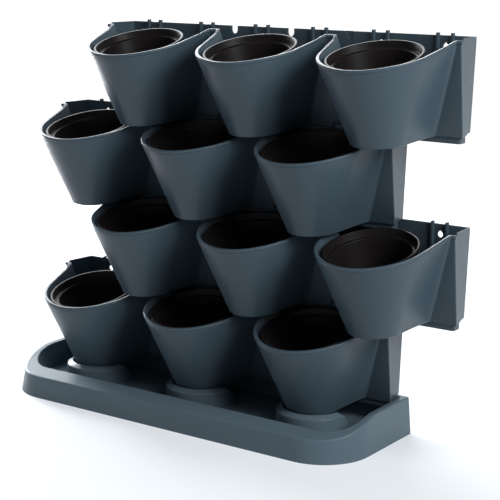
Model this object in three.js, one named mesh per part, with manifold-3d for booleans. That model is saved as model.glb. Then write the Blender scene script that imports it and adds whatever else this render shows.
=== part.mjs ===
// Vertical planter tower: four identical three-pocket rows stacked wall on wall and staggered by
// half a pocket, a loose inner pot in every pocket, and a long drip tray under the lowest row.
// Millimetres, +Z up. The origin is on the floor, under the middle of the whole tower.
// X runs along the rows, -Y is the planted front, +Y the wall side.

import * as THREE from 'three';
import { mergeVertices } from 'three/addons/utils/BufferGeometryUtils.js';
import Module from 'manifold-3d';

const wasm = await Module();
wasm.setup();

// Shared sizes
const pitch = 192;              // from one pocket's middle to the next
const rowPitch = 123.4;          // height that each row adds to the tower
const seatGap = 0.3;            // clearance between pieces that rest on each other
const cutOverrun = 2;           // how far a cutter reaches past the face that it opens
const pocketCount = 3;
const rowCount = 4;
const stagger = pitch / 2;      // every second row is set half a pocket to the right

// Row moulding: the wall side
const shellWall = 2.5;
const floorThickness = 2.5;
const endDraft = 4.5;           // how much each end wall leans in from top to bottom
const endSplay = 5.5;           // and how much it comes in from the strip to the back
const webDepthTop = 52;         // from the back face to the flat strip between two pockets
const webDepthBottom = 32;
const webWidth = 19;            // width of that strip at the top
const endStepHeight = 2;        // the end walls stand this much above the strips
const endStepSetback = 6;       // the step lies this far behind the strip
const endStepRun = 0.6;

// Row moulding: the pockets
const pocketRadiusTop = 77;
const pocketDepthTop = 90;      // from the back face to the middle of the pocket's round front
const pocketRadiusBottom = 39;
const pocketDepthBottom = 83;
const pocketWidthBottom = 96;   // width at the foot, where the flanks meet the strips
const rimDrop = 33;             // how far the rim falls from the strip to the front
const rimFallShares = [1.64, -1.44, 0.8];   // straight, curved and late shares of that fall
const beadProud = 1.6;          // rolled edge round the pockets and strips
const beadHeight = 5;
const beadEdge = 1.2;
const footRound = 3;            // chamfer that stands for the rounded foot
const skirtDrop = 5;            // the strips hang this far below the seat of the row
const footDrop = 10.3;          // the pockets' foot falls this much further from strip to front
const arcSteps = 12;
const holeSteps = 5;

// Row moulding: what locks the rows together
const lipDrop = 7;              // recessed lip below the strips, inside the row below
const lipSetback = 3;
const lipWall = 2.5;
const backZone = 12;            // depth behind which everything stays above the row below
const shelfHalfWidth = 21.5;    // raised shelf in each pocket, hollow below, over the strip below
const shelfDepth = 98;          // how far the shelf reaches from the back face
const shelfDrop = 2.3;          // of the shelf's top below the seat, under the middle of a pot
const drainRadius = 4;
const drainDepth = 38;          // from the back face to the drain hole in each shelf
const ribWidth = 4;
const ribDepth = 4;
const ribSpread = 21.5;         // between the two ribs of a pair
const ribPairPitch = pitch / 2;
const postRise = 3.5;           // the ribs end in posts above the wall's top edge
const postFit = 0.6;            // clearance round a post in the foot of the row above
const keyholeRadius = 4.2;
const keyholeNeck = 1.9;        // half width of the narrow part
const keyholeTop = 9;           // from the wall's top edge to the top of the narrow part
const keyholeLength = 9.5;
const notchWidth = 10.5;        // U notches in the wall's top edge
const notchDepth = 11;
const knockoutSkin = 1;         // the third notch is left closed by a thin skin
const stripNotchWidth = 11.6;   // small cut in the lower edge of each strip
const stripNotchHeight = 8.6;

// Inner pots, which lean forward with their pockets
const potRimGap = 11;           // from the rim to the inside of the pocket, at the sides
const potFrontGap = 1;          // the same at the front, where the lean adds a little
const potRimDrop = 21;          // from the row's top edge to the middle of the rim
const potFootGap = 5.5;         // from the foot to the inside of the pocket's foot
const potFootSetback = 9;       // the foot's middle lies this far behind that of the pocket's foot
const potWall = 1.4;
const potRimProud = 1.6;
const potRimHeight = 2.2;
const potCollar = 10.5;         // height of the wide collar under the rim
const potLedge = 5;             // width of the ledge below the collar
const potTaper = 3;             // how much the collar narrows downwards
const potSteps = 20;

// Drip tray: the rim is low along the front and climbs towards the sides
const trayHeight = 52;          // at the sides and the back
const trayFrontDrop = 20;       // the rim's front lies this much lower
const trayClimbStart = 174;     // the climb's ends, measured from the rows' back face
const trayClimbEnd = 83;
const trayHalfLength = 295.5;
const trayFront = 183.5;        // from the rows' back face to the front edge of the rim
const trayCorner = 71;
const trayOpeningCorner = 43;
const trayRimFront = 34;
const trayRimSide = 10.5;
const trayRimBack = 9;
const trayFlare = 4;            // the wall leans out towards the foot
const trayWall = 2.5;
const trayFloor = 2.5;
const trayFloorHeight = 15;     // of the basin's floor above the ground
const trayInnerDraft = 3;
const trayEdge = 1.5;           // softened outer edge of the rim
const trayCornerSteps = 9;
const traySideSteps = 3;
const saddleDrop = 10;          // top of the saddles below the tray's side rim
const saddleClearance = 3.5;    // round the pocket's foot
const saddleCrest = 1;
const saddleBevelRun = 8;       // the sloped band outside the crest
const saddleBevelDrop = 4.5;
const saddleFlare = 2;
const saddleEnd = 90;           // from the back face to the top end of a saddle's arms
const saddleEndRun = 23;        // the arms slope down over this much depth
const saddleSteps = 20;

const rowMaterial = new THREE.MeshStandardMaterial({ color: 0x3f4f5b, roughness: 0.45, metalness: 0 });
const potMaterial = new THREE.MeshStandardMaterial({ color: 0x1b1718, roughness: 0.4, metalness: 0 });
const trayMaterial = new THREE.MeshStandardMaterial({ color: 0x4b5c67, roughness: 0.5, metalness: 0 });

// Meshes and solids

function surface(points, faces) {
  const geometry = new THREE.BufferGeometry();
  geometry.setAttribute('position', new THREE.Float32BufferAttribute(points.flat(), 3));
  geometry.setIndex(faces.flat());
  return geometry;
}

// A closed skin through rings of equal length, capped on the first ring and on the last.
// The rings run counter-clockwise seen from above, and the first of them climb the outside.
function skin(rings) {
  const count = rings[0].length;
  const faces = [];
  for (let ring = 0; ring + 1 < rings.length; ring++) {
    for (let i = 0; i < count; i++) {
      const a = ring * count + i;
      const b = ring * count + (i + 1) % count;
      faces.push([a, b, a + count], [b, b + count, a + count]);
    }
  }
  const cap = (ring) => {
    const contour = rings[ring].map(([x, y]) => new THREE.Vector2(x, y));
    const triangles = THREE.ShapeUtils.triangulateShape(contour, []);
    return triangles.map((triangle) => triangle.map((i) => i + ring * count));
  };
  for (const face of cap(0)) faces.push(face.reverse());
  for (const face of cap(rings.length - 1)) faces.push(face);
  return surface(rings.flat(), faces);
}

function solid(geometry) {
  const bare = geometry.clone();
  bare.deleteAttribute('normal');
  bare.deleteAttribute('uv');
  const merged = mergeVertices(bare);
  return new wasm.Manifold(new wasm.Mesh({
    numProp: 3,
    vertProperties: new Float32Array(merged.attributes.position.array),
    triVerts: new Uint32Array(merged.index.array),
  }));
}

function geometryOf(body) {
  const { vertProperties, triVerts } = body.getMesh();
  const geometry = new THREE.BufferGeometry();
  geometry.setAttribute('position', new THREE.Float32BufferAttribute(vertProperties, 3));
  geometry.setIndex(Array.from(triVerts));
  geometry.computeVertexNormals();
  return geometry;
}

// A box between two corners
function block(low, high) {
  const size = high.map((value, i) => value - low[i]);
  const middle = high.map((value, i) => (value + low[i]) / 2);
  return solid(new THREE.BoxGeometry(...size).translate(...middle));
}

// A shape in the XZ plane, carried along Y from one depth to another
function upright(shape, from, to) {
  const geometry = new THREE.ExtrudeGeometry(shape, {
    depth: to - from, bevelEnabled: false, curveSegments: holeSteps,
  });
  return solid(geometry.rotateX(Math.PI / 2).translate(0, to, 0));
}

// A polygon in the YZ plane, carried along X to both sides of a middle
function sideways(corners, middle, half) {
  const shape = new THREE.Shape(corners.map(([y, z]) => new THREE.Vector2(y, z)));
  const geometry = new THREE.ExtrudeGeometry(shape, { depth: half * 2, bevelEnabled: false });
  return solid(geometry.rotateX(Math.PI / 2).rotateZ(Math.PI / 2).translate(middle - half, 0, 0));
}

const mix = (a, b, share) => a + (b - a) * share;

// The plan of a row at a share of the way down, moved in by an inset (out where it is negative).
// Each point is [x, y, part], the part being the end, strip or pocket that it belongs to.

const rowHalfLength = pitch * pocketCount / 2;
const pocketMiddles = Array.from({ length: pocketCount }, (_, i) => (i - (pocketCount - 1) / 2) * pitch);

function pocketPlan(share, inset) {
  const kinkX = mix((pitch - webWidth) / 2, pocketWidthBottom / 2, share);
  const kinkY = -mix(webDepthTop, webDepthBottom, share);
  const middleY = -mix(pocketDepthTop, pocketDepthBottom, share);
  const radius = mix(pocketRadiusTop, pocketRadiusBottom, share);
  const away = Math.hypot(kinkX, kinkY - middleY);
  const bearing = Math.atan2(kinkY - middleY, kinkX);
  const tangent = bearing - Math.acos(Math.min(radius / away, 1));
  const normal = [Math.cos(tangent), Math.sin(tangent)];
  const slide = (inset * (1 + normal[1])) / normal[0];
  const kink = [kinkX - slide, kinkY + inset];
  const arc = [];
  for (let i = 0; i <= arcSteps; i++) {
    const turn = mix(-Math.PI - tangent, tangent, i / arcSteps);
    arc.push([(radius - inset) * Math.cos(turn), middleY + (radius - inset) * Math.sin(turn)]);
  }
  return [[-kink[0], kink[1]], ...arc, kink];
}

function rowPlan(share, inset) {
  const half = rowHalfLength - endDraft * share - inset;
  const front = -mix(webDepthTop, webDepthBottom, share) + inset;
  const step = -webDepthTop + endStepSetback;
  const stepAt = Math.max(mix(step, -webDepthBottom + endStepSetback, share), front + endStepRun);
  const splayed = (y) => half - endSplay * (1 - y / front);
  const end = [[half, front, 'strip'], [splayed(stepAt), stepAt, 'strip'],
    [splayed(stepAt + endStepRun), stepAt + endStepRun, 'end'], [splayed(-inset), -inset, 'end']];
  const start = end.map(([x, y, part]) => [-x, y, part]).reverse();
  const pockets = pocketMiddles.flatMap((middle) => (
    pocketPlan(share, inset).map(([x, y]) => [x + middle, y, 'pocket'])));
  return [...start, ...pockets, ...end];
}

// Heights are measured from the top edge of the row's back wall.
const rimReach = pocketDepthTop + pocketRadiusTop - webDepthTop;
const seat = -rowPitch + seatGap;

function rimHeight(y, part) {
  if (part === 'end') return 0;
  const share = Math.max(0, -y - webDepthTop) / rimReach;
  const [straight, curved, late] = rimFallShares;
  return -endStepHeight - rimDrop * share * (straight + share * (curved + share * late));
}

const footSlope = footDrop / (pocketDepthBottom + pocketRadiusBottom - webDepthBottom);
const footHeight = (y) => seat - skirtDrop + footSlope * (y + webDepthBottom);

// A ring of the row's skin: its plan, and its height as an offset from the rim or from the foot
function rimRing(inset, below) {
  return rowPlan(0, 0).map(([, y, part], i) => {
    const own = part === 'end' ? Math.max(inset, 0) : inset;
    const [x, place] = rowPlan(0, own)[i];
    return [x, place, rimHeight(y, part) - below];
  });
}

function footRing(inset, above) {
  return rowPlan(1, inset).map(([x, y]) => [x, y, footHeight(y) + above]);
}

function rowShell() {
  return solid(skin([
    footRing(footRound, 0),
    footRing(0, footRound),
    rimRing(0, beadHeight),
    rimRing(-beadProud, beadHeight - beadEdge),
    rimRing(-beadProud, beadEdge),
    rimRing(0, 0),
    rimRing(shellWall, 0),
    footRing(shellWall, floorThickness),
  ]));
}

// The recessed lip under a strip, from one pocket's shelf to the next or to the end of the row
function lip(from, to) {
  const front = -webDepthBottom + lipSetback;
  const bottom = seat - skirtDrop - lipDrop;
  const top = seat - skirtDrop + floorThickness;
  const outer = block([from, front, bottom], [to, -backZone, top]);
  const inner = block([from + lipWall, front + lipWall, bottom - cutOverrun],
    [to - lipWall, -backZone - lipWall, footHeight(front)]);
  return outer.subtract(inner);
}

function keyhole(x) {
  const shape = new THREE.Shape();
  const top = -keyholeTop - keyholeNeck;
  const middle = -keyholeTop - keyholeLength + keyholeRadius;
  const half = Math.asin(keyholeNeck / keyholeRadius);
  shape.absarc(x, top, keyholeNeck, 0, Math.PI, false);
  shape.absarc(x, middle, keyholeRadius, Math.PI / 2 + half, Math.PI * 5 / 2 - half, false);
  return upright(shape, -shellWall - cutOverrun, cutOverrun);
}

function notch(x, from, to) {
  const half = notchWidth / 2;
  const shape = new THREE.Shape();
  shape.moveTo(x + half, cutOverrun);
  shape.lineTo(x - half, cutOverrun);
  shape.absarc(x, -notchDepth + half, half, Math.PI, Math.PI * 2, false);
  return upright(shape, from, to);
}

const ribPairs = Array.from({ length: pocketCount * 2 }, (_, i) => (
  -rowHalfLength + ribPairPitch * (i + 0.5)));
const ribPlaces = ribPairs.flatMap((x) => [x - ribSpread / 2, x + ribSpread / 2]);

function rib(x) {
  const half = ribWidth / 2;
  const front = -shellWall - ribDepth;
  const bottom = footHeight(front) + floorThickness / 2;
  return block([x - half, front, bottom], [x + half, -shellWall / 2, postRise]);
}

// An inner pot reaches from the middle of its foot, over the shelf, to the middle of its rim.
const potRimRadius = pocketRadiusTop - shellWall - potRimGap;
const potRimDepth = pocketDepthTop + pocketRadiusTop - shellWall - potFrontGap - potRimRadius;
const potFootRadius = pocketRadiusBottom - shellWall - potFootGap;
const potFootDepth = pocketDepthBottom - potFootSetback;
const potFootHeight = seat - shelfDrop + seatGap;
const potReach = [potRimDepth - potFootDepth, -potRimDrop - potFootHeight];
const potHeight = Math.hypot(...potReach);
const lean = Math.atan2(...potReach);

// The shelf slopes as the inner pots do. Its underside is a channel for the strip of the row below.
const shelfTop = (y) => seat - shelfDrop + Math.tan(lean) * (y + potFootDepth);

function shelf(middle) {
  const back = -shellWall / 2;
  return sideways([
    [back, shelfTop(back)],
    [-shelfDepth, shelfTop(-shelfDepth)],
    [-shelfDepth, footHeight(-shelfDepth) + floorThickness / 2],
    [back, seat - skirtDrop / 2],
  ], middle, shelfHalfWidth);
}

function shelfChannel(middle) {
  const front = -shelfDepth + shellWall;
  return sideways([
    [-backZone, shelfTop(-backZone) - floorThickness],
    [front, shelfTop(front) - floorThickness],
    [front, seat - rowPitch],
    [-backZone, seat - rowPitch],
  ], middle, shelfHalfWidth - shellWall);
}

function drain(x, y, height) {
  const geometry = new THREE.CylinderGeometry(drainRadius, drainRadius, floorThickness * 4, holeSteps * 2);
  return solid(geometry.rotateX(Math.PI / 2).translate(x, y, height));
}

// Room for a post of the row below, at the foot of this row's own rib
function postSocket(x) {
  const half = ribWidth / 2 + postFit;
  const front = -shellWall - ribDepth - postFit;
  return block([x - half, front, seat - cutOverrun - skirtDrop], [x + half, cutOverrun, seat + postRise + postFit]);
}

function rowBody() {
  let body = rowShell();
  const endFace = rowHalfLength - endDraft - endSplay * (1 - backZone / webDepthBottom) - lipSetback / 2;
  const edges = pocketMiddles.flatMap((middle) => [middle - shelfHalfWidth, middle + shelfHalfWidth]);
  const lips = [-endFace, ...edges, endFace];
  for (let i = 0; i < lips.length; i += 2) body = body.add(lip(lips[i], lips[i + 1]));
  for (const x of ribPlaces) body = body.add(rib(x));
  for (const middle of pocketMiddles) body = body.add(shelf(middle));
  const inside = rowHalfLength - endDraft - endSplay - shellWall / 2;
  body = body.add(block([-inside, -backZone - shellWall, seat - skirtDrop / 2],
    [inside, -shellWall / 2, seat + floorThickness]));

  const wide = rowHalfLength + cutOverrun;
  body = body.subtract(block([-wide, -backZone, seat - rowPitch], [wide, cutOverrun, seat]));
  for (const x of ribPlaces) body = body.subtract(postSocket(x));
  for (const x of ribPairs) body = body.subtract(keyhole(x));
  for (const middle of pocketMiddles) {
    body = body.subtract(shelfChannel(middle));
    body = body.subtract(drain(middle, -drainDepth, shelfTop(-drainDepth)));
  }
  const notches = [-stagger, 0];
  for (const x of notches) body = body.subtract(notch(x, -shellWall - cutOverrun, cutOverrun));
  body = body.subtract(notch(stagger, -shellWall - cutOverrun, -knockoutSkin));
  for (const x of [-stagger, stagger]) {
    const half = stripNotchWidth / 2;
    const front = -webDepthBottom;
    body = body.subtract(block([x - half, front - shellWall - cutOverrun, seat - skirtDrop - cutOverrun],
      [x + half, front + lipSetback, seat - skirtDrop + stripNotchHeight]));
  }
  return body;
}

// An inner pot: its foot is at the origin and it opens along +Z.
function innerPot() {
  const under = potHeight - potCollar;
  const collarFoot = potRimRadius - potRimProud - potTaper;
  const waist = collarFoot - potLedge;
  const profile = [
    [0, 0],
    [potFootRadius, 0],
    [waist, under - potLedge / 2],
    [collarFoot, under],
    [potRimRadius - potRimProud, potHeight - potRimHeight],
    [potRimRadius, potHeight - potRimHeight],
    [potRimRadius, potHeight],
    [potRimRadius - potRimProud - potWall, potHeight],
    [collarFoot - potWall, under + potWall],
    [waist - potWall, under + potWall],
    [potFootRadius - potWall, potWall],
    [0, potWall],
  ].map(([radius, height]) => new THREE.Vector2(radius, height));
  const pot = solid(new THREE.LatheGeometry(profile, potSteps).rotateX(Math.PI / 2));
  return geometryOf(pot.subtract(drain(0, 0, 0)));
}

// The tray's plan: square corners at the wall side, flush with the rows' backs, and round ones at
// the front, measured in the rows' own frame and moved in by separate amounts on each side
function trayPlan({ front, side, back, corner }) {
  const half = trayHalfLength - side;
  const nearest = -trayFront + front;
  const bend = nearest + corner;
  const left = [[-half, -back]];
  for (let i = traySideSteps; i > 0; i--) left.push([-half, mix(bend, -trayClimbEnd, i / traySideSteps)]);
  for (let i = 0; i <= trayCornerSteps; i++) {
    const turn = (Math.PI / 2) * (i / trayCornerSteps);
    left.push([corner - half - corner * Math.cos(turn), bend - corner * Math.sin(turn)]);
  }
  return [...left, ...left.map(([x, y]) => [-x, y]).reverse()];
}

// The rim's height over the ground: a smooth climb from the low front to the sides
function trayRimHeight(y) {
  const share = THREE.MathUtils.smoothstep(-y, trayClimbEnd, trayClimbStart);
  return trayHeight - trayFrontDrop * share;
}

const level = (move, height) => trayPlan(move).map(([x, y]) => [x, y, height]);
const climbing = (move, below) => trayPlan(move).map(([x, y]) => [x, y, trayRimHeight(y) - below]);

const outside = (inset, back) => ({
  front: inset,
  side: inset,
  back,
  corner: trayCorner - Math.max(inset, 0),
});
const opening = (extra) => ({
  front: trayRimFront + extra,
  side: trayRimSide + extra,
  back: trayRimBack + extra,
  corner: trayOpeningCorner - extra,
});

// A saddle hugs the front of a pocket's foot. Its arms end in a slope.
function saddle(middle) {
  const inner = pocketRadiusBottom + saddleClearance;
  const outer = inner + saddleCrest + saddleBevelRun;
  const top = trayHeight - saddleDrop;
  const base = trayFloorHeight - trayFloor / 2;
  const ring = (radius, height) => Array.from({ length: saddleSteps * 2 }, (_, i) => {
    const turn = Math.PI * i / saddleSteps;
    return [middle + radius * Math.cos(turn), -pocketDepthBottom + radius * Math.sin(turn), height];
  });
  const whole = solid(skin([
    ring(outer + saddleFlare, base),
    ring(outer, top - saddleBevelDrop),
    ring(inner + saddleCrest, top),
  ]));
  const bore = solid(skin([ring(inner, base - cutOverrun), ring(inner, top + cutOverrun)]));
  const reach = outer + saddleFlare + cutOverrun;
  const run = saddleEndRun / (top - trayFloorHeight);
  const slope = (height) => -saddleEnd + run * (top - height);
  const cutter = sideways([
    [slope(top + cutOverrun), top + cutOverrun],
    [slope(base - cutOverrun), base - cutOverrun],
    [reach, base - cutOverrun],
    [reach, top + cutOverrun],
  ], middle, reach);
  return whole.subtract(bore).subtract(cutter);
}

// One thin moulding, open underneath: the outside, over the rim and down to the basin's floor,
// and the same again a wall's thickness further in
function trayBody() {
  const whole = solid(skin([
    level(outside(-trayFlare, 0), 0),
    climbing(outside(0, 0), trayEdge),
    climbing(outside(trayEdge, trayEdge), 0),
    climbing(opening(0), 0),
    level(opening(trayInnerDraft), trayFloorHeight),
  ]));
  const hollow = solid(skin([
    level(outside(trayWall - trayFlare, trayWall), -cutOverrun),
    climbing(outside(trayWall, trayWall), trayWall),
    climbing(opening(-trayWall), trayWall),
    level(opening(trayInnerDraft - trayWall), trayFloorHeight - trayFloor),
  ]));
  let body = whole.subtract(hollow);
  for (const middle of pocketMiddles) body = body.add(saddle(middle));
  return body;
}

// Assembly: the middle of the lowest row's back face lies left of the tower's middle and behind it.
const leftReach = trayHalfLength + trayFlare;
const rightReach = stagger + rowHalfLength + beadProud;
const firstMiddle = (leftReach - rightReach) / 2;
const wallSide = (trayFront + trayFlare) / 2;
const tower = new THREE.Group();

function place(name, geometry, material, position, lean = 0) {
  const mesh = new THREE.Mesh(geometry, material);
  mesh.name = name;
  mesh.position.set(...position);
  mesh.rotation.x = lean;
  tower.add(mesh);
}

place('drip_tray', geometryOf(trayBody()), trayMaterial, [firstMiddle, wallSide, 0]);

const rowGeometry = geometryOf(rowBody());
const potGeometry = innerPot();
const sides = ['left', 'middle', 'right'];

for (let row = 0; row < rowCount; row++) {
  const shift = firstMiddle + (row % 2 ? stagger : 0);
  const top = trayHeight + rowPitch * (row + 1);
  place(`row_${row + 1}_planter`, rowGeometry, rowMaterial, [shift, wallSide, top]);
  pocketMiddles.forEach((middle, i) => {
    const foot = [shift + middle, wallSide - potFootDepth, top + potFootHeight];
    place(`inner_pot_row_${row + 1}_${sides[i]}`, potGeometry, potMaterial, foot, lean);
  });
}

export default tower;
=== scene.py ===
# %% [markdown]
# # A planter tower of moulded plastic
# Four planter rows stand on each other on a drip tray, and each pocket holds a loose inner pot.
# The rows are one moulding used four times, so it is modelled once and its mesh is copied.
# The finished parts already exist as plain solids in a fixed frame. This script only dresses them,
# so the first step loads that frame and gives a way to measure the box of each part.

# %% Load the frame
import math

import bpy
import numpy as np
from mathutils import Matrix, Vector


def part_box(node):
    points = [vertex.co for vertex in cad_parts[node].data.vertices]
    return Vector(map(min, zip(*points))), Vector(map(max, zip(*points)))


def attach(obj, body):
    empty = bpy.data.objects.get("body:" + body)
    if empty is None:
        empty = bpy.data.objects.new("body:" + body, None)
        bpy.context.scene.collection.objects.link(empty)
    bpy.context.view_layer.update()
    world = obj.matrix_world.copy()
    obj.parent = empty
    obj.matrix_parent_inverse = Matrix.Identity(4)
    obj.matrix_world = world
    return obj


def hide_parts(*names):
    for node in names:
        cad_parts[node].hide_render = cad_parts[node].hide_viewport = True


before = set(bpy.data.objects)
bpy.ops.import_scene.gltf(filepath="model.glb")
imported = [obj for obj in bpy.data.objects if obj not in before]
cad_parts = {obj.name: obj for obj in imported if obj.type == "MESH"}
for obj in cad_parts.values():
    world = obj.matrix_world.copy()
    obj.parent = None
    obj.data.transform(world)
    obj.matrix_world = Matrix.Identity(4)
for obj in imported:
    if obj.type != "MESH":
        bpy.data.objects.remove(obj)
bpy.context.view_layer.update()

# %% [markdown]
# ## The camera
# The photograph was taken with a long lens from the right of the planted front, a little above it.
# A camera is easiest to repeat from its place, the compass angle it looks along, how far it looks
# down and its focal length. Its matrix is built from these: right, up and backward directions.

# %% Place the camera
MM = 0.001
SENSOR_WIDTH = 36
CAMERA_LENS = 105.03
CAMERA_PLACE = Vector((1186.6, -1590.7, 675.2)) * MM
CAMERA_AZIMUTH = math.radians(35.56)
CAMERA_ELEVATION = math.radians(12.31)
CAMERA_ROLL = math.radians(0.08)


def photo_camera():
    """A camera that looks along -Z of its own axes, turned by elevation, then by azimuth."""
    data = bpy.data.cameras.new("photo_camera")
    data.lens = CAMERA_LENS
    data.sensor_width = SENSOR_WIDTH
    camera = bpy.data.objects.new("photo_camera", data)
    bpy.context.scene.collection.objects.link(camera)
    turn = Matrix.Rotation(CAMERA_AZIMUTH, 4, "Z")
    tilt = Matrix.Rotation(math.pi / 2 - CAMERA_ELEVATION, 4, "X")
    roll = Matrix.Rotation(CAMERA_ROLL, 4, "Z")
    camera.matrix_world = Matrix.Translation(CAMERA_PLACE) @ turn @ tilt @ roll
    bpy.context.scene.camera = camera
    return camera


print("camera:", photo_camera().matrix_world.translation)

# %% [markdown]
# ## Surfaces from grids of points
# A moulded shell is a closed outline that changes as it climbs: each height gives a ring of points.
# Stacking the rings gives a grid, and every cell of the grid is one face. The two ends are closed
# by a flat face each, or joined to each other for a ring-shaped body such as a pot with a hole.
# The signed volume of the mesh says whether its faces point outwards.

# %% Meshes from rings
def grid_faces(rings, count, loop):
    """Faces between neighbouring rings, as rows of four corner numbers."""
    number = np.arange(rings * count).reshape(rings, count)
    above = np.roll(number, -1, axis=0)
    if not loop:
        number, above = number[:-1], above[:-1]
    corners = [number, np.roll(number, -1, axis=1), np.roll(above, -1, axis=1), above]
    return np.stack(corners, axis=-1).reshape(-1, 4)


def points_outwards(grid, quads):
    """The volume is a sixth of the sum of corner . (corner x corner) over the triangles."""
    points = grid.reshape(-1, 3) - grid.reshape(-1, 3).mean(axis=0)
    a, b, c, d = (points[quads[:, i]] for i in range(4))
    return np.einsum("ij,ij->", a, np.cross(b, c)) + np.einsum("ij,ij->", a, np.cross(c, d)) > 0


def surface(name, grid, loop=False):
    """A mesh object from a grid of rings in millimetres: ring, point on the ring, coordinate."""
    grid = np.asarray(grid, float)
    rings, count = grid.shape[:2]
    quads = grid_faces(rings, count, loop)
    faces = quads.tolist()
    if not loop:
        faces.append(np.arange(count)[::-1].tolist())
        faces.append((np.arange(count) + (rings - 1) * count).tolist())
    if not points_outwards(grid, quads):
        faces = [face[::-1] for face in faces]
    mesh = bpy.data.meshes.new(name)
    mesh.from_pydata((grid.reshape(-1, 3) * MM).tolist(), [], faces)
    piece = bpy.data.objects.new(name, mesh)
    bpy.context.scene.collection.objects.link(piece)
    return piece


print("a cube has", len(grid_faces(2, 4, False)), "sides between its two caps")

# %% [markdown]
# ## Rounded outlines
# Moulded plastic has no sharp corner. A corner of an outline is replaced by a short curve that
# starts on one side and ends on the other, and the same function rounds plans seen from above and
# profiles seen from the side.

# %% Round the corners of an outline
CORNER_STEPS = 5
QUARTER = np.linspace(0, math.pi / 2, CORNER_STEPS + 1)


def bend(before, corner, after, first, second, steps=CORNER_STEPS):
    """The quadratic curve (1-t)^2 A + 2t(1-t) C + t^2 B. C is the corner, A lies a first reach
    from it on the way back, and B a second reach from it on the way on."""
    before, corner, after = (np.asarray(point, float) for point in (before, corner, after))
    start = corner + (before - corner) * first / np.linalg.norm(before - corner)
    end = corner + (after - corner) * second / np.linalg.norm(after - corner)
    t = np.linspace(0, 1, steps + 1)[:, None]
    return (1 - t) ** 2 * start + 2 * t * (1 - t) * corner + t ** 2 * end


def rounded(points, reaches, closed=False):
    """An outline with each corner bent by its own reach. The ends of an open outline stay."""
    pieces = []
    for i, (point, reach) in enumerate(zip(points, reaches)):
        if reach == 0:
            pieces.append(np.array([point], float))
        else:
            pieces.append(bend(points[i - 1], point, points[(i + 1) % len(points)], reach, reach))
    return np.concatenate(pieces)


def rounded_box(low, high, reach):
    """A rectangle in the plane with four corners of the same reach."""
    (x0, y0), (x1, y1) = low, high
    return rounded([(x0, y0), (x1, y0), (x1, y1), (x0, y1)], [reach] * 4)


def at_height(outline, height):
    """The outline as a level ring."""
    return np.column_stack([outline, np.broadcast_to(height, len(outline))])


def mix(a, b, share):
    return a + (b - a) * share


print("a rounded corner has", len(bend((1, 0), (0, 0), (0, 1), 0.5, 0.5)), "points")

# %% [markdown]
# ## The planter row's sizes
# The sizes are those of the real moulding, in millimetres. The place of each row comes from the
# frame: its solid gives the middle, the back face and, below the posts, the top edge.

# %% Sizes of the row
ROWS = 4
PITCH = 192
ROW_PITCH = 123.4
SEAT_GAP = 0.3
POCKETS = 3
SHELL_WALL = 2.5
FLOOR = 2.5
END_DRAFT = 4.5
END_SPLAY = 5.5
WEB_DEPTH_TOP = 52
WEB_DEPTH_BOTTOM = 32
WEB_WIDTH = 19
STEP_HEIGHT = 2
STEP_SETBACK = 6
STEP_RUN = 0.6
RADIUS_TOP = 77
DEPTH_TOP = 90
RADIUS_BOTTOM = 39
DEPTH_BOTTOM = 83
WIDTH_BOTTOM = 96
RIM_DROP = 33
RIM_FALL_SHARES = (1.64, -1.44, 0.8)
BEAD_PROUD = 1.6
BEAD_HEIGHT = 5
BEAD_SLOPE = 1
BEAD_RUN = 2
BEAD_BENDS = (0, 0.6, 0.6, 1.5, 0.9, 0)
FOOT_ROUND = 3
SKIRT_DROP = 5
FOOT_DROP = 10.3
POST_RISE = 3.5
ARC_STEPS = 72
WALL_LEVELS = 8

ROW_HALF = PITCH * POCKETS / 2
SEAT = SEAT_GAP - ROW_PITCH
FOOT_SLOPE = FOOT_DROP / (DEPTH_BOTTOM + RADIUS_BOTTOM - WEB_DEPTH_BOTTOM)
RIM_REACH = DEPTH_TOP + RADIUS_TOP - WEB_DEPTH_TOP
MIDDLES = (np.arange(POCKETS) - (POCKETS - 1) / 2) * PITCH


def row_place(row):
    """The middle of the row's back face at its top edge, in millimetres."""
    low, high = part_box(f"row_{row}_planter")
    return np.array([(low.x + high.x) / 2, high.y, high.z - POST_RISE * MM]) / MM


print("top edge of each row:", [row_place(row).round(2).tolist() for row in range(1, ROWS + 1)])

# %% [markdown]
# ## The plan of a row
# Seen from above, each pocket is a circle that runs out into two flat flanks, and the flanks meet
# the flat strips between the pockets. In the mould that meeting is a soft hollow, tight at the top
# and wide at the foot. The plan is worked out for any share of the way down and any inset.

# %% Plan of the pockets and the row
BLEND_STRIP_SHARES = (0.02, 0.03)
BLEND_FLANK_SHARES = (0.08, 0.2)
END_ROUND = 1.4


def pocket_plan(share, inset):
    """Kink, tangent flank, arc, tangent flank, kink. The tangent from the kink touches the circle
    where the bearing of the kink, less the arc cosine of radius over distance, says."""
    kink = np.array([mix((PITCH - WEB_WIDTH) / 2, WIDTH_BOTTOM / 2, share),
                     -mix(WEB_DEPTH_TOP, WEB_DEPTH_BOTTOM, share)])
    middle = -mix(DEPTH_TOP, DEPTH_BOTTOM, share)
    radius = mix(RADIUS_TOP, RADIUS_BOTTOM, share)
    away = math.hypot(kink[0], kink[1] - middle)
    tangent = math.atan2(kink[1] - middle, kink[0]) - math.acos(radius / away)
    slide = inset * (1 + math.sin(tangent)) / math.cos(tangent)
    kink = kink + [-slide, inset]
    turn = np.linspace(-math.pi - tangent, tangent, ARC_STEPS + 1)
    arc = (radius - inset) * np.column_stack([np.cos(turn), np.sin(turn)]) + [0, middle]
    on_strip = PITCH * mix(*BLEND_STRIP_SHARES, share)
    on_flank = PITCH * mix(*BLEND_FLANK_SHARES, share)
    strip = [kink[0] + PITCH, kink[1]]
    right = bend(arc[-1], kink, strip, on_flank, on_strip, CORNER_STEPS * 2)
    left = (right * [-1, 1])[::-1]
    return np.concatenate([left, arc, right])


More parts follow.
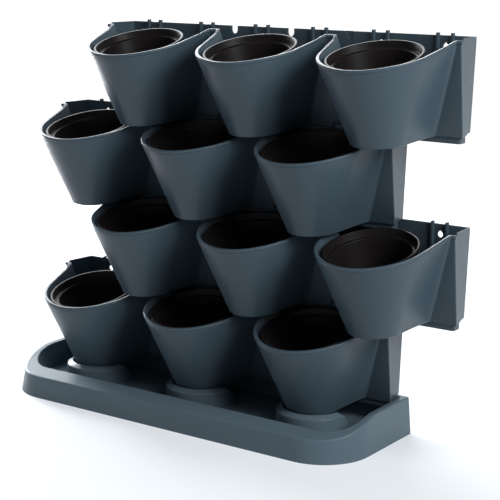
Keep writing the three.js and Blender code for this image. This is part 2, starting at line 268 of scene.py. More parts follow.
def row_plan(share, inset):
    """The closed plan, counter-clockwise from the left end's back corner, and which of its points
    belong to the end walls. These come in by END_SPLAY from the strip to the back."""
    half = ROW_HALF - END_DRAFT * share - inset
    front = -mix(WEB_DEPTH_TOP, WEB_DEPTH_BOTTOM, share) + inset
    step = mix(STEP_SETBACK - WEB_DEPTH_TOP, STEP_SETBACK - WEB_DEPTH_BOTTOM, share)
    step = max(step, front + END_ROUND + STEP_RUN)
    corner = bend((0, front), (half, front), (half, 0), END_ROUND, END_ROUND)
    depths = np.array([step, step + STEP_RUN, -inset])
    wall = np.column_stack([half - END_SPLAY * (1 - depths / front), depths])
    right = np.concatenate([corner, wall])
    pockets = [pocket_plan(share, inset) + [middle, 0] for middle in MIDDLES]
    plan = np.concatenate([(right * [-1, 1])[::-1], *pockets, right])
    is_end = np.zeros(len(plan), bool)
    is_end[:2] = is_end[-2:] = True
    return plan, is_end


print("points in a row's plan:", len(row_plan(0, 0)[0]))

# %% [markdown]
# ## The shell of a row
# The rim is level along the strips and falls forward round each pocket, in a curve of the depth
# alone. The foot is a flat plane that falls forward too. A rolled bead runs along the rim. The
# shell's skin climbs from the rounded foot up the outside, over the bead and down the inside.

# %% Skin of the row
def rim_height(y, is_end):
    """A cubic of the share of the way to the front; the end walls stand a step higher."""
    share = np.maximum(0, -y - WEB_DEPTH_TOP) / RIM_REACH
    straight, curved, late = RIM_FALL_SHARES
    fall = share * (straight + share * (curved + share * late))
    return np.where(is_end, 0, -STEP_HEIGHT - RIM_DROP * fall)


def foot_height(y):
    return SEAT - SKIRT_DROP + FOOT_SLOPE * (y + WEB_DEPTH_BOTTOM)


def rim_ring(inset, below):
    """The rim's ring, moved in and down. The bead leaves out the end walls and the back."""
    plan, is_end = row_plan(0, 0)
    moved = np.where(is_end[:, None], row_plan(0, max(inset, 0))[0], row_plan(0, inset)[0])
    return at_height(moved, rim_height(plan[:, 1], is_end) - below)


def foot_ring(inset, above):
    plan = row_plan(1, inset)[0]
    return at_height(plan, foot_height(plan[:, 1]) + above)


def between(first, last, levels):
    """Rings along the straight lines from each point of one ring to its point on another."""
    share = np.linspace(0, 1, levels + 1)[1:-1, None, None]
    return list(mix(first[None], last[None], share))


def row_shell():
    foot = [foot_ring(FOOT_ROUND * (1 - math.sin(a)), FOOT_ROUND * (1 - math.cos(a))) for a in QUARTER]
    bead = rounded(
        [(0, BEAD_HEIGHT + BEAD_RUN), (0, BEAD_HEIGHT), (-BEAD_PROUD, BEAD_HEIGHT - BEAD_SLOPE),
         (-BEAD_PROUD, 0), (SHELL_WALL, 0), (SHELL_WALL, BEAD_RUN)], BEAD_BENDS)
    rim = [rim_ring(inset, below) for inset, below in bead]
    floor = [foot_ring(SHELL_WALL + FLOOR * (1 - math.cos(a)), FLOOR * (2 - math.sin(a))) for a in QUARTER]
    outside = between(foot[-1], rim[0], WALL_LEVELS)
    inside = between(rim[-1], floor[0], WALL_LEVELS)
    return surface("row_shell", [*foot, *outside, *rim, *inside, *floor])


# %% [markdown]
# ## Joining and cutting
# Ribs, shelves and holes would be hard to carry through the grid, so they are small closed bodies
# of their own, joined to the shell or cut out of it with Boolean modifiers. The result is read back
# as a plain mesh, so that nothing is left live.

# %% Boolean helper
def combine(body, operation, others):
    """Joins the other bodies to this one, or cuts them out of it, one after another."""
    for other in others:
        modifier = body.modifiers.new(operation.lower(), "BOOLEAN")
        modifier.operation = operation
        modifier.solver = "MANIFOLD"
        modifier.object = other
        graph = bpy.context.evaluated_depsgraph_get()
        mesh = bpy.data.meshes.new_from_object(body.evaluated_get(graph))
        body.modifiers.clear()
        body.data = mesh
        bpy.data.objects.remove(other)
    return body


def merged(pieces):
    """Several separate bodies as one object, for a single cut or join."""
    with bpy.context.temp_override(active_object=pieces[0], selected_editable_objects=pieces):
        bpy.ops.object.join()
    return pieces[0]


def prism(name, outline, low, high):
    """An upright body: the same outline at two heights."""
    return surface(name, [at_height(outline, low), at_height(outline, high)])


def lying(name, outline, start, end):
    """A body along Y: an outline in X and Z, at two depths."""
    rings = [np.column_stack([outline[:, 0], np.full(len(outline), y), outline[:, 1]]) for y in (start, end)]
    return surface(name, rings)


def across(name, outline, start, end):
    """A body along X: an outline in Y and Z, at two places."""
    outline = np.asarray(outline, float)
    return surface(name, [np.column_stack([np.full(len(outline), x), outline]) for x in (start, end)])


# %% [markdown]
# ## What stiffens the row and locks it to its neighbours
# Pairs of ribs climb the back wall and end in posts. Each pocket has a raised shelf that is hollow
# below, because the strip of the row beneath stands there. A recessed lip hangs under the strips.

# %% Ribs, shelves, band and lips
OVERRUN = 2
LIP_DROP = 7
LIP_SETBACK = 3
LIP_WALL = 2.5
LIP_ROUND = 3.5
LIP_HOLLOW_ROUND = 1
BACK_ZONE = 12
SHELF_HALF = 21.5
SHELF_DEPTH = 98
SHELF_DROP = 2.3
POT_RIM_RADIUS = 63.5
POT_RIM_DEPTH = 100
POT_RIM_DROP = 21
POT_FOOT_DEPTH = 74
RIB_WIDTH = 4
RIB_DEPTH = 4
RIB_SPREAD = 21.5
RIB_ROUND = 0.8
RIB_PAIRS = (np.arange(POCKETS * 2) + 0.5) * PITCH / 2 - ROW_HALF
RIBS = np.concatenate([RIB_PAIRS - RIB_SPREAD / 2, RIB_PAIRS + RIB_SPREAD / 2])
POT_FOOT_HEIGHT = SEAT - SHELF_DROP + SEAT_GAP
LEAN = math.atan2(POT_RIM_DEPTH - POT_FOOT_DEPTH, -POT_RIM_DROP - POT_FOOT_HEIGHT)


def shelf_top(y):
    """A plane across the inner pot's axis: it rises by tan(lean) per unit of depth."""
    return SEAT - SHELF_DROP + math.tan(LEAN) * (y + POT_FOOT_DEPTH)


def rib(x):
    """A rounded bar from the floor to a domed post above the top edge."""
    front = -SHELL_WALL - RIB_DEPTH
    bottom = foot_height(front) + FLOOR / 2
    rings = []
    for turn in QUARTER:
        shrink = RIB_ROUND * (1 - math.cos(turn))
        outline = rounded_box((x - RIB_WIDTH / 2 + shrink, front + shrink),
                              (x + RIB_WIDTH / 2 - shrink, -SHELL_WALL / 2), RIB_ROUND)
        rings.append(at_height(outline, POST_RISE - RIB_ROUND * (1 - math.sin(turn))))
    return surface("rib", [at_height(rings[0][:, :2], bottom), *rings])


def shelf(middle):
    back = -SHELL_WALL / 2
    outline = [(back, shelf_top(back)), (-SHELF_DEPTH, shelf_top(-SHELF_DEPTH)),
               (-SHELF_DEPTH, foot_height(-SHELF_DEPTH) + FLOOR / 2), (back, SEAT - SKIRT_DROP / 2)]
    return across("shelf", outline, middle - SHELF_HALF, middle + SHELF_HALF)


def band():
    """The floor is raised along the back wall, above the wall of the row beneath."""
    inside = ROW_HALF - END_DRAFT - END_SPLAY - SHELL_WALL / 2
    outline = rounded_box((-inside, -BACK_ZONE - SHELL_WALL), (inside, -SHELL_WALL / 2), RIB_ROUND)
    return prism("band", outline, SEAT - SKIRT_DROP / 2, SEAT + FLOOR)


def lip(start, end):
    """A shallow box below the strip with a rounded plan and a rounded lower edge."""
    front = -WEB_DEPTH_BOTTOM + LIP_SETBACK
    bottom = SEAT - SKIRT_DROP - LIP_DROP
    rings = []
    for turn in QUARTER:
        shrink = RIB_ROUND * (1 - math.sin(turn))
        outline = rounded_box((start + shrink, front + shrink),
                              (end - shrink, -BACK_ZONE - shrink), LIP_ROUND)
        rings.append(at_height(outline, bottom + RIB_ROUND * (1 - math.cos(turn))))
    return surface("lip", [*rings, at_height(rings[-1][:, :2], SEAT - SKIRT_DROP + FLOOR)])


def lip_hollow(start, end):
    front = -WEB_DEPTH_BOTTOM + LIP_SETBACK
    outline = rounded_box((start + LIP_WALL, front + LIP_WALL),
                          (end - LIP_WALL, -BACK_ZONE - LIP_WALL), LIP_HOLLOW_ROUND)
    return prism("lip_hollow", outline, SEAT - SKIRT_DROP - LIP_DROP - OVERRUN, foot_height(front))


LIP_END = ROW_HALF - END_DRAFT - END_SPLAY * (1 - BACK_ZONE / WEB_DEPTH_BOTTOM) - LIP_SETBACK / 2
LIP_STARTS = [-LIP_END, *(MIDDLES + SHELF_HALF)]
LIP_ENDS = [*(MIDDLES - SHELF_HALF), LIP_END]
print("ribs at", RIBS.tolist(), "lips from", LIP_STARTS, "to", LIP_ENDS)

# %% [markdown]
# ## Holes and notches
# Keyholes take wall screws. Rounded notches open the top edge of the back wall, the third of them
# still closed by a thin skin. Each shelf drains through a hole, and each strip has a small cut in
# its lower edge that clears the rim below.

# %% Cutters
POST_FIT = 0.6
KEYHOLE_RADIUS = 4.2
KEYHOLE_NECK = 1.9
KEYHOLE_TOP = 9
KEYHOLE_LENGTH = 9.5
NOTCH_WIDTH = 10.5
NOTCH_DEPTH = 11
KNOCKOUT_SKIN = 1
STRIP_NOTCH_WIDTH = 11.6
STRIP_NOTCH_HEIGHT = 8.6
STRIP_NOTCH_ROUND = 1.5
DRAIN_RADIUS = 4
DRAIN_DEPTH = 38
HOLE_STEPS = 24


def arc(middle, radius, start, end, steps=HOLE_STEPS):
    turn = np.linspace(start, end, steps + 1)
    return np.asarray(middle) + radius * np.column_stack([np.cos(turn), np.sin(turn)])


def keyhole(x):
    """A round hole with a narrow neck above it that ends in a half circle."""
    half = math.asin(KEYHOLE_NECK / KEYHOLE_RADIUS)
    neck = arc((x, -KEYHOLE_TOP - KEYHOLE_NECK), KEYHOLE_NECK, 0, math.pi)
    middle = (x, -KEYHOLE_TOP - KEYHOLE_LENGTH + KEYHOLE_RADIUS)
    hole = arc(middle, KEYHOLE_RADIUS, math.pi / 2 + half, math.pi * 5 / 2 - half)
    return lying("keyhole", np.concatenate([neck, hole]), -SHELL_WALL - OVERRUN, OVERRUN)


def notch(x, start):
    half = NOTCH_WIDTH / 2
    top = [(x + half, OVERRUN), (x - half, OVERRUN)]
    bottom = arc((x, half - NOTCH_DEPTH), half, math.pi, math.pi * 2)
    return lying("notch", np.concatenate([top, bottom]), start, -KNOCKOUT_SKIN if x > 0 else OVERRUN)


def strip_notch(x):
    left, right = x - STRIP_NOTCH_WIDTH / 2, x + STRIP_NOTCH_WIDTH / 2
    low = SEAT - SKIRT_DROP - OVERRUN
    high = SEAT - SKIRT_DROP + STRIP_NOTCH_HEIGHT
    outline = rounded([(left, low), (right, low), (right, high), (left, high)],
                      [0, 0, STRIP_NOTCH_ROUND, STRIP_NOTCH_ROUND])
    front = -WEB_DEPTH_BOTTOM
    return lying("strip_notch", outline, front - SHELL_WALL - OVERRUN, front + LIP_SETBACK)


def shelf_channel(middle):
    front = SHELL_WALL - SHELF_DEPTH
    outline = [(-BACK_ZONE, shelf_top(-BACK_ZONE) - FLOOR), (front, shelf_top(front) - FLOOR),
               (front, SEAT - ROW_PITCH), (-BACK_ZONE, SEAT - ROW_PITCH)]
    return across("channel", outline, middle - SHELF_HALF + SHELL_WALL, middle + SHELF_HALF - SHELL_WALL)


def drain(x, y, height):
    circle = arc((x, y), DRAIN_RADIUS, 0, math.pi * 2 * (1 - 1 / HOLE_STEPS), HOLE_STEPS - 1)
    return prism("drain", circle, height - FLOOR * 2, height + FLOOR * 2)


def post_socket(x):
    """Room for a post of the row beneath."""
    half = RIB_WIDTH / 2 + POST_FIT
    front = -SHELL_WALL - RIB_DEPTH - POST_FIT
    outline = [(x - half, front), (x + half, front), (x + half, OVERRUN), (x - half, OVERRUN)]
    return prism("post_socket", outline, SEAT - OVERRUN - SKIRT_DROP, SEAT + POST_RISE + POST_FIT)


def under_back():
    """Behind this depth, nothing of the row reaches below its seat."""
    wide = ROW_HALF + OVERRUN
    outline = [(-wide, -BACK_ZONE), (wide, -BACK_ZONE), (wide, OVERRUN), (-wide, OVERRUN)]
    return prism("under_back", outline, SEAT - ROW_PITCH, SEAT)


# %% [markdown]
# ## The finished row
# The joins come first and the cuts last, because the cuts also open the joined pieces. Faces that
# meet at a soft angle are shaded smooth, and edges that a mould leaves sharp stay sharp. Weighted
# normals keep the flat faces flat beside their rounded edges.

# %% Build one row
SOFT_ANGLE = math.radians(32)


def finish_shading(piece):
    mesh = piece.data
    mesh.polygons.foreach_set("use_smooth", np.ones(len(mesh.polygons), bool))
    mesh.set_sharp_from_angle(angle=SOFT_ANGLE)
    normals = piece.modifiers.new("flat faces", "WEIGHTED_NORMAL")
    normals.keep_sharp = True
    return piece


def row_body():
    body = row_shell()
    stiff = merged([rib(x) for x in RIBS] + [shelf(middle) for middle in MIDDLES])
    lips = merged([lip(start, end) for start, end in zip(LIP_STARTS, LIP_ENDS)])
    combine(body, "UNION", [stiff, band(), lips])
    hollows = [lip_hollow(start, end) for start, end in zip(LIP_STARTS, LIP_ENDS)]
    small = [keyhole(x) for x in RIB_PAIRS]
    small += [notch(x, -SHELL_WALL - OVERRUN) for x in (-PITCH / 2, 0, PITCH / 2)]
    small += [strip_notch(x) for x in (-PITCH / 2, PITCH / 2)]
    sockets = merged([post_socket(x) for x in RIBS])
    channels = merged([shelf_channel(middle) for middle in MIDDLES])
    drains = merged([drain(middle, -DRAIN_DEPTH, shelf_top(-DRAIN_DEPTH)) for middle in MIDDLES])
    cuts = [under_back(), merged(hollows), sockets, merged(small), channels, drains]
    return combine(body, "DIFFERENCE", cuts)


row_mould = row_body()
print("row:", len(row_mould.data.polygons), "faces")

# %% [markdown]
# ## The inner pot
# A thin loose pot: a flat rim, a wide collar that narrows slightly, a ledge, and a tapering cup
# with a drain hole. It is turned, so one closed profile is carried round the axis. The profile
# starts and ends at the drain hole, which leaves no pole to close.

# %% Turn the pot
POT_FOOT_RADIUS = 31
POT_WALL = 1.4
POT_RIM_PROUD = 1.6
POT_RIM_HEIGHT = 2.2
POT_COLLAR = 10.5
POT_LEDGE = 5
POT_TAPER = 3
POT_SEGMENTS = 144
POT_BENDS = (0, 1.5, 1.5, 1.2, 0.5, 0.5, 0.9, 0.8, 1.2, 1.4, 1.5, 0)
POT_HEIGHT = math.hypot(POT_RIM_DEPTH - POT_FOOT_DEPTH, -POT_RIM_DROP - POT_FOOT_HEIGHT)


def pot_profile():
    """Radius and height, from the drain hole out, up the outside and down the inside."""
    under = POT_HEIGHT - POT_COLLAR
    collar = POT_RIM_RADIUS - POT_RIM_PROUD - POT_TAPER
    waist = collar - POT_LEDGE
    points = [
        (DRAIN_RADIUS, 0), (POT_FOOT_RADIUS, 0), (waist, under - POT_LEDGE / 2), (collar, under),
        (POT_RIM_RADIUS - POT_RIM_PROUD, POT_HEIGHT - POT_RIM_HEIGHT),
        (POT_RIM_RADIUS, POT_HEIGHT - POT_RIM_HEIGHT), (POT_RIM_RADIUS, POT_HEIGHT),
        (POT_RIM_RADIUS - POT_RIM_PROUD - POT_WALL, POT_HEIGHT), (collar - POT_WALL, under + POT_WALL),
        (waist - POT_WALL, under + POT_WALL), (POT_FOOT_RADIUS - POT_WALL, POT_WALL),
        (DRAIN_RADIUS, POT_WALL)]
    return rounded(points, POT_BENDS)


def pot_body():
    """Each ring is the profile turned by one angle: x = r cos a, y = r sin a."""
    radius, height = pot_profile().T
    angle = np.arange(POT_SEGMENTS)[:, None] * math.tau / POT_SEGMENTS
    grid = np.stack([radius * np.cos(angle), radius * np.sin(angle), height + 0 * angle], axis=-1)
    return surface("pot", grid, loop=True)


pot_mould = pot_body()
print("pot:", round(POT_HEIGHT, 2), "mm tall,", len(pot_mould.data.polygons), "faces")

# %% [markdown]
# ## The drip tray
# One thin moulding, open underneath. Its flat rim is low along the front and climbs to the sides,
# the skirt leans out to the floor, and the basin lies inside. The plan has round corners in front,
# and the height of the rim depends on the depth alone.

# %% Plan and rim of the tray
TRAY_HEIGHT = 52
TRAY_FRONT_DROP = 20
CLIMB_START = 174
CLIMB_END = 83
TRAY_HALF = 295.5
TRAY_FRONT = 183.5
TRAY_CORNER = 71
OPENING_CORNER = 43
RIM_FRONT = 34
RIM_SIDE = 10.5
RIM_BACK = 9
TRAY_FLARE = 4
TRAY_WALL = 2.5
TRAY_FLOOR = 2.5
TRAY_FLOOR_HEIGHT = 15
BASIN_DRAFT = 3
TRAY_CORNER_STEPS = 32
TRAY_SIDE_STEPS = 12
TRAY_BACK_ROUND = 4


def tray_plan(front, side, back, corner, back_round):
    """Half the plan from the back's middle round the left side to the front's middle, mirrored."""
    half = TRAY_HALF - side
    bend_y = front - TRAY_FRONT + corner
    heel = bend((0, -back), (-half, -back), (-half, -CLIMB_END), back_round, back_round)
    climb = np.linspace(-CLIMB_END, bend_y, TRAY_SIDE_STEPS, endpoint=False)
    flank = np.column_stack([np.full(TRAY_SIDE_STEPS, -half), climb])
    round_corner = arc((corner - half, bend_y), corner, math.pi, math.pi * 3 / 2, TRAY_CORNER_STEPS)
    left = np.concatenate([heel, flank, round_corner])
    return np.concatenate([left, (left * [-1, 1])[::-1]])


def tray_rim_height(y):
    """A smooth step 3t^2 - 2t^3 of the share of the climb."""
    share = np.clip((-y - CLIMB_END) / (CLIMB_START - CLIMB_END), 0, 1)
    return TRAY_HEIGHT - TRAY_FRONT_DROP * share ** 2 * (3 - 2 * share)


def skirt_plan(inset, back_inset):
    corner = TRAY_CORNER - max(inset, 0)
    return tray_plan(inset, inset, back_inset, corner, TRAY_BACK_ROUND - min(back_inset, TRAY_BACK_ROUND - 1))


def basin_plan(extra):
    """The basin's back corners are small and its front ones wide."""
    return tray_plan(RIM_FRONT + extra, RIM_SIDE + extra, RIM_BACK + extra, OPENING_CORNER - extra,
                     TRAY_BACK_ROUND)


def climbing(plan, below):
    return at_height(plan, tray_rim_height(plan[:, 1]) - below)


print("points in the tray's plan:", len(skirt_plan(0, 0)))

# %% [markdown]
# ## The tray's skin
# The skin starts under the basin's floor, goes under the rim and down inside the skirt, turns at
# the foot, climbs the outside, crosses the rim with soft edges and ends on the basin's floor. So
# the wall's thickness is in the mesh, and the tray is hollow below as a real moulding is.

# %% Skin of the tray
RIM_OUTER_ROUND = 2.6
RIM_INNER_ROUND = 2
BASIN_HEEL_SHARE = 0.8


def tray_skin():
    under = [at_height(basin_plan(BASIN_DRAFT - TRAY_WALL), TRAY_FLOOR_HEIGHT - TRAY_FLOOR),
             climbing(basin_plan(-TRAY_WALL), TRAY_WALL),
             climbing(skirt_plan(TRAY_WALL, TRAY_WALL), TRAY_WALL),
             at_height(skirt_plan(TRAY_WALL - TRAY_FLARE, TRAY_WALL), 0)]
    foot = at_height(skirt_plan(-TRAY_FLARE, 0), 0)
    turns = np.linspace(0, math.pi / 2, CORNER_STEPS + 2)
    outer = [climbing(skirt_plan(RIM_OUTER_ROUND * (1 - math.cos(a)), RIM_OUTER_ROUND * (1 - math.cos(a))),
                      RIM_OUTER_ROUND * (1 - math.sin(a))) for a in turns]
    inner = [climbing(basin_plan(-RIM_INNER_ROUND * (1 - math.sin(a))), RIM_INNER_ROUND * (1 - math.cos(a)))
             for a in turns]
    floor = at_height(basin_plan(BASIN_DRAFT), TRAY_FLOOR_HEIGHT)
    heel = BASIN_DRAFT * BASIN_HEEL_SHARE
    low = at_height(basin_plan(heel), TRAY_FLOOR_HEIGHT + heel)
    wall = between(foot, outer[0], WALL_LEVELS)
    return surface("tray", [*under, foot, *wall, *outer, *inner, low, floor])


# %% [markdown]
# ## The saddles
# Three horseshoes in the basin hug the feet of the lowest row. A saddle's section is a block with
# a bevel on its outer shoulder, and it is carried round the pocket's foot. The arms end in a slope,
# so each line of the section stops at its own angle, where it meets the sloping plane.

# %% Saddles
SADDLE_DROP = 10
SADDLE_CLEARANCE = 3.5
SADDLE_CREST = 1
SADDLE_BEVEL_RUN = 8
SADDLE_BEVEL_DROP = 4.5
SADDLE_FLARE = 2
SADDLE_END = 90
SADDLE_END_RUN = 23
SADDLE_STEPS = 72
SADDLE_BENDS = (0, 0.45, 0.45, 1.6, 0)


def saddle(middle):
    """x = r cos a, y = r sin a, with a from the slope on the left, round the front, to the right."""
    inner = RADIUS_BOTTOM + SADDLE_CLEARANCE
    outer = inner + SADDLE_CREST + SADDLE_BEVEL_RUN
    top = TRAY_HEIGHT - SADDLE_DROP
    base = TRAY_FLOOR_HEIGHT - TRAY_FLOOR / 2
    radius, height = rounded(
        [(inner, base), (inner, top), (inner + SADDLE_CREST, top), (outer, top - SADDLE_BEVEL_DROP),
         (outer + SADDLE_FLARE, base)], SADDLE_BENDS).T
    end = SADDLE_END_RUN * (top - height) / (top - TRAY_FLOOR_HEIGHT) - SADDLE_END
    past = np.arcsin((end + DEPTH_BOTTOM) / radius)
    share = np.linspace(0, 1, SADDLE_STEPS + 1)[:, None]
    angle = mix(math.pi - past, math.tau + past, share)
    x = middle + radius * np.cos(angle)
    y = radius * np.sin(angle) - DEPTH_BOTTOM
    return surface("saddle", np.stack([x, y, height + 0 * angle], axis=-1))


tray = combine(tray_skin(), "UNION", [merged([saddle(middle) for middle in MIDDLES])])
print("tray:", len(tray.data.polygons), "faces")

# %% [markdown]
# ## Shader arithmetic
# A finish is a small tree of shader nodes. Writing it as Python expressions keeps it readable: a
# socket that knows its tree can be added, subtracted and multiplied, and each of these adds one
# Math node. Every other node comes from one method that sets it up and links it.

# %% A socket with operators
class Socket:
    """An output in a shader tree. Arithmetic on it adds Math nodes, with numbers on either side."""

    def __init__(self, finish, socket):
        self.finish = finish
        self.socket = socket

    def math(self, operation, first, second):
        return self.finish.node("ShaderNodeMath", {"operation": operation}, {0: first, 1: second})

    def __add__(self, other):
        return self.math("ADD", self, other)

    def __radd__(self, other):
        return self.math("ADD", other, self)

    def __sub__(self, other):
        return self.math("SUBTRACT", self, other)

    def __rsub__(self, other):
        return self.math("SUBTRACT", other, self)

    def __mul__(self, other):
        return self.math("MULTIPLY", self, other)

    def __rmul__(self, other):
        return self.math("MULTIPLY", other, self)


class Finish:
    """A material, or the world, whose tree is written step by step."""

    def __init__(self, name, kind="Material"):
        store = bpy.data.materials if kind == "Material" else bpy.data.worlds
        self.kind = kind
        self.made = store.new(name)
        self.made.use_nodes = True
        self.tree = self.made.node_tree
        self.tree.nodes.clear()

    def node(self, kind, settings=None, inputs=None, output=0):
        """Adds a node, sets its options first, then its sockets from numbers or links."""
        made = self.tree.nodes.new(kind)
        for option, value in (settings or {}).items():
            setattr(made, option, value)
        for key, value in (inputs or {}).items():
            if isinstance(value, Socket):
                self.tree.links.new(value.socket, made.inputs[key])
            else:
                made.inputs[key].default_value = value
        return Socket(self, made.outputs[output])

    def noise(self, scale, detail, roughness=0.5):
        place = self.node("ShaderNodeTexCoord", output="Object")
        return self.node("ShaderNodeTexNoise", {}, {
            "Vector": place, "Scale": scale, "Detail": detail, "Roughness": roughness})

    def blend(self, share, first, second):
        """Mixes two colours."""
        return self.node("ShaderNodeMix", {"data_type": "RGBA"}, {0: share, 6: first, 7: second}, 2)

    def step(self, value, low, high, first, last):
        """A smooth step from one number to another while the value goes from low to high."""
        return self.node("ShaderNodeMapRange", {"interpolation_type": "SMOOTHSTEP"}, {
            0: value, 1: low, 2: high, 3: first, 4: last})

    def seen(self):
        """One for rays from the camera, mirror rays and rays through glass, else zero."""
        rays = [self.node("ShaderNodeLightPath", output=name) for name in
                ("Is Camera Ray", "Is Glossy Ray", "Is Transmission Ray")]
        return rays[0] + rays[1] + rays[2]

    def surface(self, shader):
        output = self.tree.nodes.new(f"ShaderNodeOutput{self.kind}")
        self.tree.links.new(shader.socket, output.inputs["Surface"])
        return self.made


# %% [markdown]
# ## Moulded plastic
# All pieces are dyed plastic with a satin, lightly grained skin. The texture has a fine grain under
# half a millimetre and pores about a millimetre apart, and slow ripples a few centimetres long.
# The gloss wanders a little with the ripples and the pores, and the dye is not quite even. Grain
# and ripple are heights in metres.

# %% Plastic finishes
CLOUDS_PER_METRE = 9
RIPPLES_PER_METRE = 38
PORES_PER_METRE = 900
GRAINS_PER_METRE = 2600
GRAIN_ROUGHNESS = 0.6
CLOUD_SHARE = 0.7
GRAIN_SHARE = 0.6
RIPPLE_GLOSS = 0.1
PORE_GLOSS = 0.08
PLANTER_FINISH = {
    "dark": (0.0505, 0.0785, 0.103), "light": (0.0605, 0.0925, 0.1195),
    "roughness": 0.36, "shine": 0.29, "grain": 0.00002, "ripple": 0.0002}
TRAY_FINISH = {
    "dark": (0.094, 0.137, 0.170), "light": (0.110, 0.158, 0.194),
    "roughness": 0.4, "shine": 0.25, "grain": 0.00002, "ripple": 0.0002}
POT_FINISH = {
    "dark": (0.0085, 0.0068, 0.0072), "light": (0.012, 0.0098, 0.0102),
    "roughness": 0.42, "shine": 0.12, "grain": 0.000012, "ripple": 0.0001}


def plastic(name, dark, light, roughness, shine, grain, ripple):
    finish = Finish(name)
    clouds = finish.noise(CLOUDS_PER_METRE, 3)
    flow = finish.noise(RIPPLES_PER_METRE, 2)
    fine = finish.noise(GRAINS_PER_METRE, 2, GRAIN_ROUGHNESS)
    pores = finish.noise(PORES_PER_METRE, 3)
    colour = finish.blend(clouds * CLOUD_SHARE + pores * (1 - CLOUD_SHARE), (*dark, 1), (*light, 1))
    gloss = roughness + (flow - 0.5) * RIPPLE_GLOSS + (pores - 0.5) * PORE_GLOSS
    waves = finish.node("ShaderNodeBump", {}, {"Strength": 1, "Distance": ripple, "Height": flow})
    texture = finish.node("ShaderNodeBump", {}, {
        "Strength": 1, "Distance": grain, "Normal": waves,
        "Height": fine * GRAIN_SHARE + pores * (1 - GRAIN_SHARE)})
    shader = finish.node("ShaderNodeBsdfPrincipled", {}, {
        "Base Color": colour, "Roughness": gloss, "Specular IOR Level": shine, "Normal": texture})
    return finish.surface(shader)


planter_plastic = plastic("planter plastic", **PLANTER_FINISH)
tray_plastic = plastic("tray plastic", **TRAY_FINISH)
pot_plastic = plastic("inner pot plastic", **POT_FINISH)
print("finishes:", [material.name for material in (planter_plastic, tray_plastic, pot_plastic)])

# %% [markdown]
# ## Everything into its place
# Each copy gets a mesh of its own with its place in it, rides on its body, stands for its solid and
# names the finish it is sold in. The pots lean forward with their pockets.

# %% Place the pieces
def install(mould, name, body, node, place, material):
    """A copy of the mould's mesh, moved by a matrix in metres and tied to its body."""
    mesh = mould.data.copy()
    mesh.transform(place)
    piece = bpy.data.objects.new(name, mesh)
    bpy.context.scene.collection.objects.link(piece)
    mesh.materials.clear()
    mesh.materials.append(material)
    finish_shading(piece)
    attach(piece, body)
    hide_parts(node)
    return piece


def shifted(place):
    return Matrix.Translation(Vector([float(value) * MM for value in place]))


ground = row_place(1) - [0, 0, TRAY_HEIGHT + ROW_PITCH]
install(tray, "tray", "tray", "drip_tray", shifted(ground), tray_plastic)
for row in range(1, ROWS + 1):
    place = row_place(row)
    install(row_mould, f"planter_row_{row}", f"row_{row}", f"row_{row}_planter", shifted(place),
            planter_plastic)
    for side, middle in zip(("left", "middle", "right"), MIDDLES):
        foot = place + [middle, -POT_FOOT_DEPTH, POT_FOOT_HEIGHT]
        install(pot_mould, f"pot_{row}_{side}", f"pot_row_{row}_{side}", f"inner_pot_row_{row}_{side}",
                shifted(foot) @ Matrix.Rotation(LEAN, 4, "X"), pot_plastic)
for mould in (row_mould, pot_mould, tray):
    bpy.data.objects.remove(mould)

# %% [markdown]
# ## The floor
# The tower stands on a plain pale floor that runs out to white. The floor glows only for the
# camera and for reflections, so the background is white while the light on the object stays
# plain, and the floor still keeps the object's shadow. The glow grows away from the object, where
# the lamps no longer reach.

# %% Floor
FLOOR_SIZE = 60
FLOOR_THICKNESS = 20
FLOOR_ROUGHNESS = 0.9
FLOOR_COLOUR = (0.6, 0.61, 0.62, 1)
FLOOR_LIFT_NEAR = 0.4
FLOOR_LIFT_FAR = 0.97
SHADOW_TINT = (0.86, 0.92, 1, 1)
WHITE = (1, 1, 1, 1)
FLOOR_NEAR = 0.6
FLOOR_FAR = 2.2


def floor():
    """A large level square in metres with a glow in its paint, stronger further out."""
    corners = np.array([[-1, -1], [1, -1], [1, 1], [-1, 1]]) * FLOOR_SIZE / 2 / MM
    plane = prism("floor", corners, -FLOOR_THICKNESS, 0)
    finish = Finish("pale floor")
    place = finish.node("ShaderNodeTexCoord", output="Object")
    distance = finish.node("ShaderNodeVectorMath", {"operation": "LENGTH"}, {0: place}, 1)
    away = finish.step(distance, FLOOR_NEAR, FLOOR_FAR, 0, 1)
    lift = away * (FLOOR_LIFT_FAR - FLOOR_LIFT_NEAR) + FLOOR_LIFT_NEAR
    tint = finish.blend(away, SHADOW_TINT, WHITE)
    shader = finish.node("ShaderNodeBsdfPrincipled", {}, {
        "Base Color": FLOOR_COLOUR, "Roughness": FLOOR_ROUGHNESS,
        "Emission Color": tint, "Emission Strength": finish.seen() * lift})
    plane.data.materials.append(finish.surface(shader))
    return plane


floor()

# %% [markdown]
# ## The light
# The photograph has one soft source high on the right and somewhat in front: walls that face right
# are bright, walls that lean down are darker, and the hollows behind the next pocket are nearly
# black. All round, the room gives a low even light. The camera sees it white from every side, and
# the glossy plastic mirrors white behind the object, which draws pale edges. One wide panel behind
# it on the left and a small lamp overhead brighten the rims, and a narrow lamp on the left lights
# the left edge of the outermost pockets. Places and sizes of the lamps are in metres, power in watts.

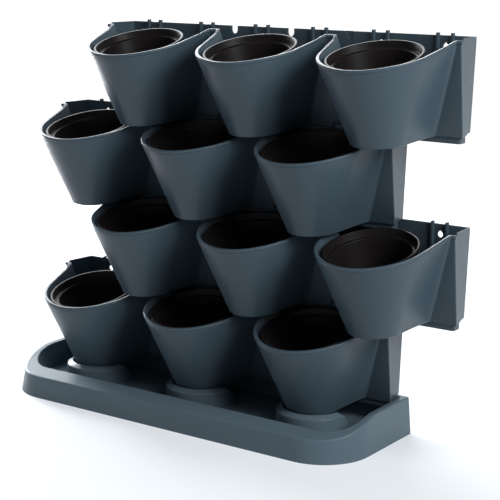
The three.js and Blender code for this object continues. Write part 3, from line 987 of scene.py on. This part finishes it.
# %% Lights
ROOM_LEVEL = 0.12
ROOM_TINT = (0.95, 0.98, 1, 1)
AWAY = (-0.5812, 0.8137, 0)
BEHIND_FROM, BEHIND_FULL = -0.1, 0.6
LOW_FULL, LOW_TO = 0.3, 0.5
COOL = (0.96, 0.98, 1)
LAMPS = (
    {"name": "key", "place": (1.68, -0.42, 1.25), "target": (0, 0, 0.25), "size": (0.8, 0.8),
     "power": 28},
    {"name": "top", "place": (0.2, -0.6, 2.2), "target": (0, 0, 0.3), "size": (0.4, 0.4),
     "power": 7},
    {"name": "left", "place": (-1.9, 0.6, 0.5), "target": (0, 0, 0.3), "size": (0.5, 1.3),
     "power": 60, "colour": COOL},
    {"name": "rim panel", "place": (-1.1, 1.2, 1.35), "target": (0, 0, 0.35), "size": (1.3, 1.3),
     "power": 36, "colour": COOL})


def room():
    """Even light. The camera sees white all round, mirror rays do behind the object and low down."""
    finish = Finish("room", "World")
    place = finish.node("ShaderNodeTexCoord", output="Generated")
    along = finish.node("ShaderNodeVectorMath", {"operation": "DOT_PRODUCT"}, {0: place, 1: AWAY}, 1)
    height = finish.node("ShaderNodeSeparateXYZ", {}, {0: place}, 2)
    behind = finish.step(along, BEHIND_FROM, BEHIND_FULL, 0, 1)
    low = finish.step(height, LOW_FULL, LOW_TO, 1, 0)
    camera = finish.node("ShaderNodeLightPath", output="Is Camera Ray")
    white = camera + (1 - camera) * finish.seen() * behind * low
    colour = finish.blend(camera, ROOM_TINT, WHITE)
    shader = finish.node("ShaderNodeBackground", {}, {
        "Color": colour, "Strength": ROOM_LEVEL + white * (1 - ROOM_LEVEL)})
    bpy.context.scene.world = finish.surface(shader)


def lamp(name, place, target, size, power, colour=(1, 1, 1)):
    """A rectangular soft box in metres that faces its target."""
    data = bpy.data.lights.new(name, "AREA")
    data.shape = "RECTANGLE"
    data.size, data.size_y = size
    data.energy = power
    data.color = colour
    light = bpy.data.objects.new(name, data)
    bpy.context.scene.collection.objects.link(light)
    aim = (Vector(target) - Vector(place)).to_track_quat("-Z", "Y")
    light.matrix_world = Matrix.Translation(place) @ aim.to_matrix().to_4x4()
    light.visible_camera = False
    return light


room()
for sizes in LAMPS:
    lamp(**sizes)
bpy.context.scene.view_settings.view_transform = "Standard"
